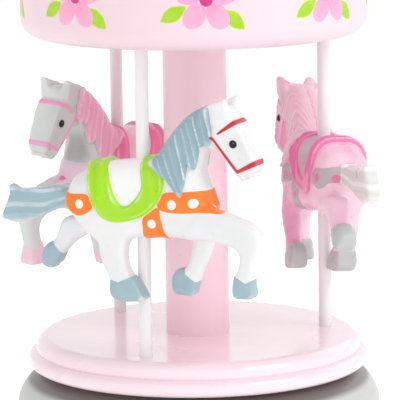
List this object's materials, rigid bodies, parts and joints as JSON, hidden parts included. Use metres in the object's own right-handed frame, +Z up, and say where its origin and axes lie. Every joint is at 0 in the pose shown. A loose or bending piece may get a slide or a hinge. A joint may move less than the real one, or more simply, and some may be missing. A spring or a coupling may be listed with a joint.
{
  "type": "carousel music box",
  "caption": "Toy carousel music box: a turned base with a clockwork movement inside turns a round platform, column, poles, leaping horses and a flower-printed canopy.",
  "frame": {"origin": "centre of the base's felt underside, on the axis the carousel turns about", "axes": "+Z up along the carousel's axis; -Y is the front, where the white horse's right flank is seen; +X is to the right of it"},
  "size_m": [0.1184, 0.1292, 0.2033],
  "materials": {
    "base_paint": "glossy warm light grey lacquer on turned wood",
    "platform_paint": "glossy pale pink lacquer on turned wood",
    "column_paint": "satin pink paint on a wooden dowel",
    "pole_paint": "satin pale pink paint on a thin wooden dowel",
    "canopy_paint": "gloss pale pink paint with printed flowers",
    "roof_paint": "gloss pink paint",
    "finial_paint": "gloss deep pink paint",
    "bare_wood": "bare sanded wood",
    "felt": "thin pressed felt",
    "horse_white_paint": "glossy hand-painted casting, white with orange straps and a lime blanket edge",
    "horse_grey_paint": "glossy hand-painted casting, pale grey with pink trim",
    "horse_pink_paint": "glossy hand-painted casting, pink with grey straps",
    "plate_metal": "die-cast plate, matt",
    "steel": "bright steel",
    "spring_steel": "blued spring steel",
    "brass": "satin brass",
    "nylon": "moulded natural nylon"
  },
  "bodies": {
    "base": {"base_plate": "bare_wood", "base_screw_1": "steel", "base_screw_2": "steel", "base_screw_3": "steel", "base_shell": "base_paint", "bedplate": "plate_metal", "bedplate_screw_1": "steel", "bedplate_screw_2": "steel", "bedplate_screw_3": "steel", "comb": "steel", "comb_block": "plate_metal", "comb_screw_1": "steel", "comb_screw_2": "steel", "cylinder_bracket": "steel", "felt_pad": "felt", "governor_bracket": "steel", "idler_bracket": "steel", "mainspring": "spring_steel", "spring_barrel": "steel"},
    "carousel": {"winding_arbor": "steel", "great_wheel": "brass", "drive_flange": "steel", "flange_screw_1": "steel", "flange_screw_2": "steel", "flange_screw_3": "steel", "platform": "platform_paint", "column": "column_paint", "pole_white": "pole_paint", "pole_grey": "pole_paint", "pole_pink": "pole_paint", "horse_white": "horse_white_paint", "horse_grey": "horse_grey_paint", "horse_pink": "horse_pink_paint", "canopy_drum": "canopy_paint", "roof": "roof_paint", "finial_peg": "bare_wood", "finial_ball": "finial_paint"},
    "cylinder": {"pinned_cylinder": "brass", "cylinder_shaft": "steel", "cylinder_pinion": "nylon", "cylinder_wheel": "nylon"},
    "idler": {"idler_shaft": "steel", "idler_pinion": "brass", "worm_wheel": "nylon"},
    "governor": {"governor_worm": "brass", "governor_fan": "nylon"}
  },
  "joints": [
    {"name": "carousel_spin", "type": "hinge", "parent": "base", "child": "carousel", "pos_m": [0, 0, 0.02], "axis": [0, 0, 1], "continuous": true},
    {"name": "cylinder_spin", "type": "hinge", "parent": "base", "child": "cylinder", "pos_m": [0.029, 0, 0.015], "axis": [1, 0, 0], "continuous": true},
    {"name": "idler_spin", "type": "hinge", "parent": "base", "child": "idler", "pos_m": [0.0319, 0.012, 0.015], "axis": [1, 0, 0], "continuous": true},
    {"name": "governor_spin", "type": "hinge", "parent": "base", "child": "governor", "pos_m": [0.0319, 0.0176, 0.015], "axis": [0, 0, 1], "continuous": true}
  ],
  "couplings": [
    {"joint": "cylinder_spin", "follows": "carousel_spin", "ratio": 4.5},
    {"joint": "idler_spin", "follows": "carousel_spin", "ratio": -9},
    {"joint": "governor_spin", "follows": "carousel_spin", "ratio": 144}
  ]
}
